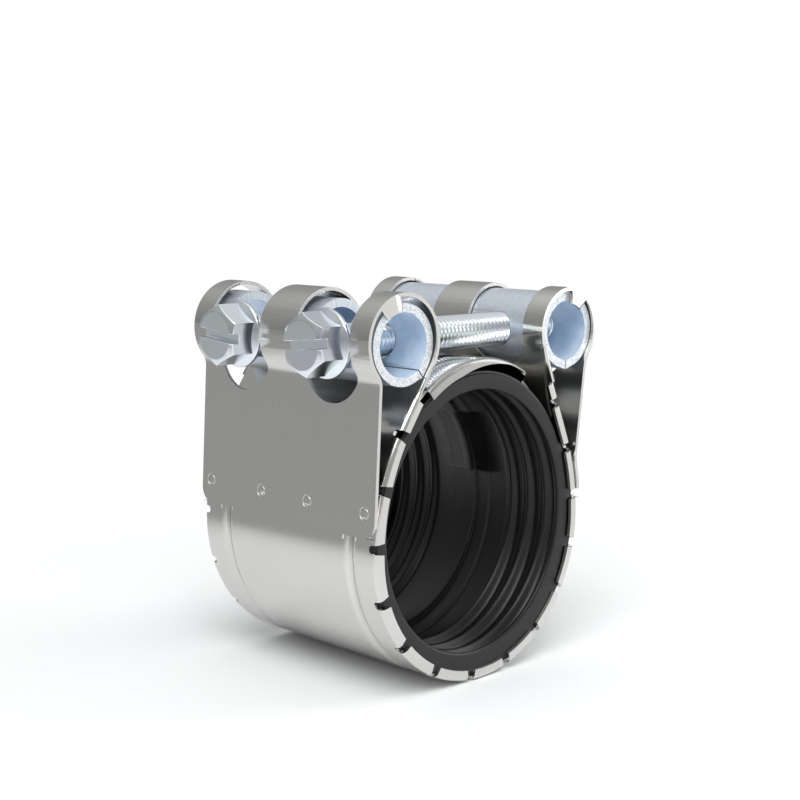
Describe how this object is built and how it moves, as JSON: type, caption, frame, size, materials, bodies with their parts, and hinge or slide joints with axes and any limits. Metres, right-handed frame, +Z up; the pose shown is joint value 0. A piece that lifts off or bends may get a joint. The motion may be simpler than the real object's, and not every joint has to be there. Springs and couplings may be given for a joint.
{
  "type": "no hub pipe coupling",
  "caption": "Stainless steel pipe coupling: a looped sheet band with folded, notched edges, closed by flanged bolts through tubes over a ribbed rubber gasket.",
  "frame": {"origin": "centre of the gasket's pipe bore, halfway along it", "axes": "+Y along the pipe bore, +Z up towards the bolts, +X from the bolt heads to their tips"},
  "size_m": [0.0798, 0.0584, 0.0887],
  "materials": {
    "stainless": "satin rolled stainless sheet with bright cut edges",
    "polished_stainless": "bright polished stainless strip",
    "zinc_steel": "blue-white zinc plated",
    "zinc_bolt": "bright zinc plated with a faint green and lilac cast",
    "rubber": "moulded black rubber, dark grey at the cut end faces"
  },
  "bodies": {
    "clamp": {"casing": "stainless", "clearance_tube": "zinc_steel", "threaded_tube": "zinc_steel", "gasket": "rubber", "bridge_plate": "polished_stainless"},
    "front_bolt": {"bolt_front": "zinc_bolt"},
    "rear_bolt": {"bolt_rear": "zinc_bolt"}
  },
  "joints": [
    {"name": "front_bolt_turn", "type": "hinge", "parent": "clamp", "child": "front_bolt", "pos_m": [0, -0.0146, 0.0416], "axis": [1, 0, 0], "continuous": true},
    {"name": "rear_bolt_turn", "type": "hinge", "parent": "clamp", "child": "rear_bolt", "pos_m": [0, 0.0146, 0.0416], "axis": [1, 0, 0], "continuous": true}
  ]
}
